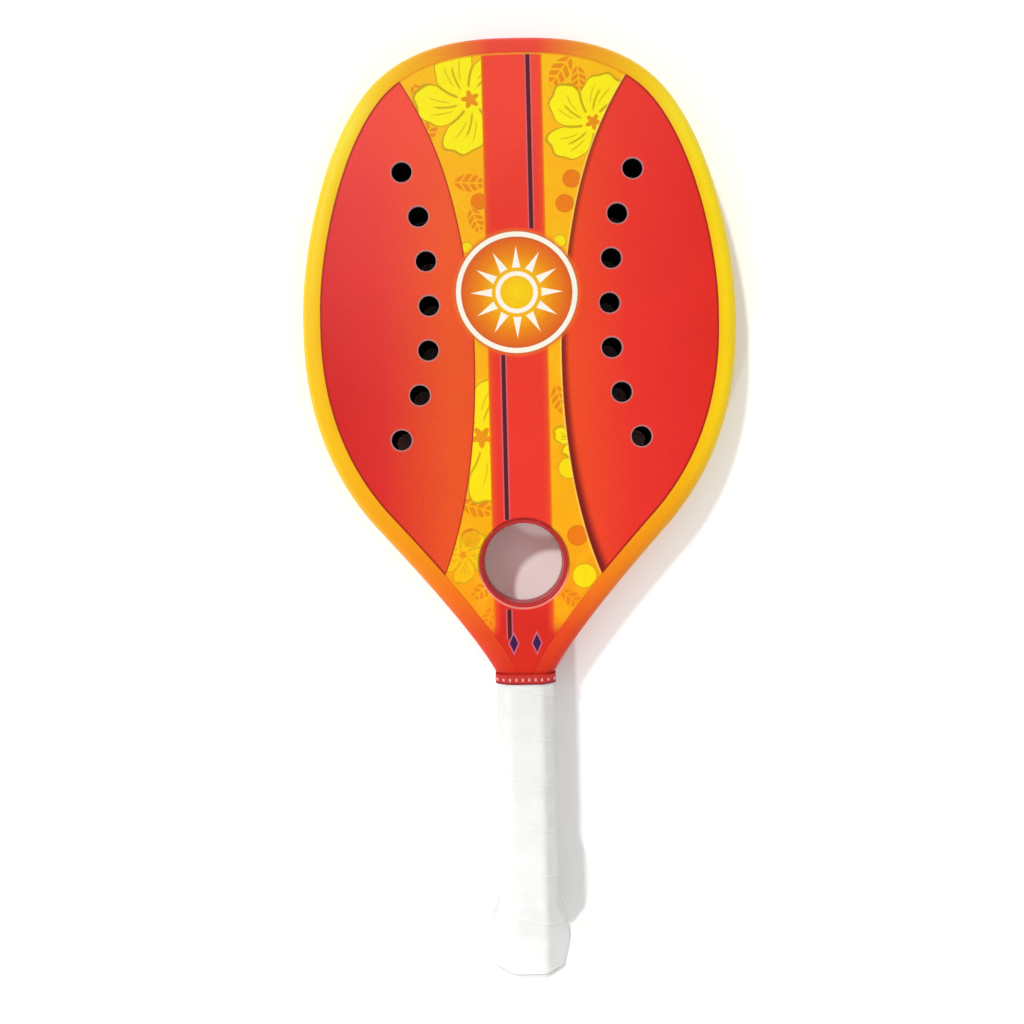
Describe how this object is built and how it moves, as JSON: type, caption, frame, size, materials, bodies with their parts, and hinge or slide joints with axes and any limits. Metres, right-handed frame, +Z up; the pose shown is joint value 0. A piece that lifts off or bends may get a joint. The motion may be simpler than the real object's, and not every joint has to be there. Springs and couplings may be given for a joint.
{
  "type": "beach tennis racket",
  "caption": "Beach tennis racket: solid foam-cored head with air holes and a round throat hole, hollow frame tube, octagonal wrapped grip and flared butt.",
  "frame": {"origin": "under the middle of the racket's bounding box, on the surface that it lies on", "axes": "+X across the face to the right, +Y from the butt to the tip of the head, +Z up from the front face"},
  "size_m": [0.2336, 0.5002, 0.0379],
  "materials": {
    "rim_paint": "satin lacquer over a composite tube, yellow at the sides, red at the tip and neck",
    "eva_core": "matte black closed-cell foam",
    "face_print": "satin lacquered print over a glass fibre skin, lightly speckled",
    "throat_paint": "satin red lacquer",
    "pallet_foam": "cast rigid foam",
    "cap_plastic": "moulded white plastic",
    "staple_steel": "plain steel wire",
    "cushion_grip": "cushioned synthetic leather",
    "white_wrap": "tacky white overgrip tape, matte",
    "band_tape": "dark red finishing tape"
  },
  "bodies": {
    "root": {"frame_tube": "rim_paint", "head_core": "eva_core", "face_front": "face_print", "face_back": "face_print", "throat_ring": "throat_paint", "leg_spacer": "eva_core", "pallet_front": "pallet_foam", "pallet_back": "pallet_foam", "butt_cap": "cap_plastic", "cap_staple_front": "staple_steel", "cap_staple_back": "staple_steel", "base_grip": "cushion_grip", "overgrip": "white_wrap", "finishing_band": "band_tape"}
  },
  "joints": []
}
